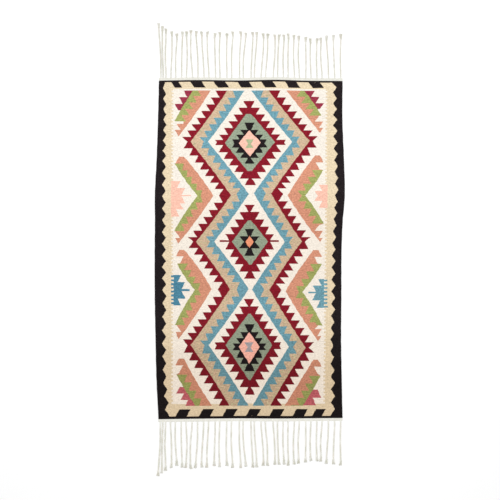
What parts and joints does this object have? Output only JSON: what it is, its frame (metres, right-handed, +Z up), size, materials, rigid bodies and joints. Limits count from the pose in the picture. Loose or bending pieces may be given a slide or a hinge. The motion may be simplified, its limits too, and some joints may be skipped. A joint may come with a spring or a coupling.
{
  "type": "kilim rug",
  "caption": "Flat-woven wool rug lying flat, with uneven hand-woven edges and a knotted warp fringe at each end.",
  "frame": {"origin": "on the floor under the middle of the whole rug, fringes included", "axes": "+Y along the rug's length towards the end at the picture's top, +X across it to the picture's right, +Z up out of the face"},
  "size_m": [0.8436, 2.014, 0.008],
  "materials": {
    "woven_wool": "weft-faced wool flatweave in many colours: ivory ground, maroon, blue, tan, green and salmon figures, black borders",
    "warp_fringe": "off-white warp yarn, twisted into strands, each knotted near its end"
  },
  "bodies": {
    "root": {"kilim_cloth": "woven_wool", "fringe_far": "warp_fringe", "fringe_near": "warp_fringe"}
  },
  "joints": []
}
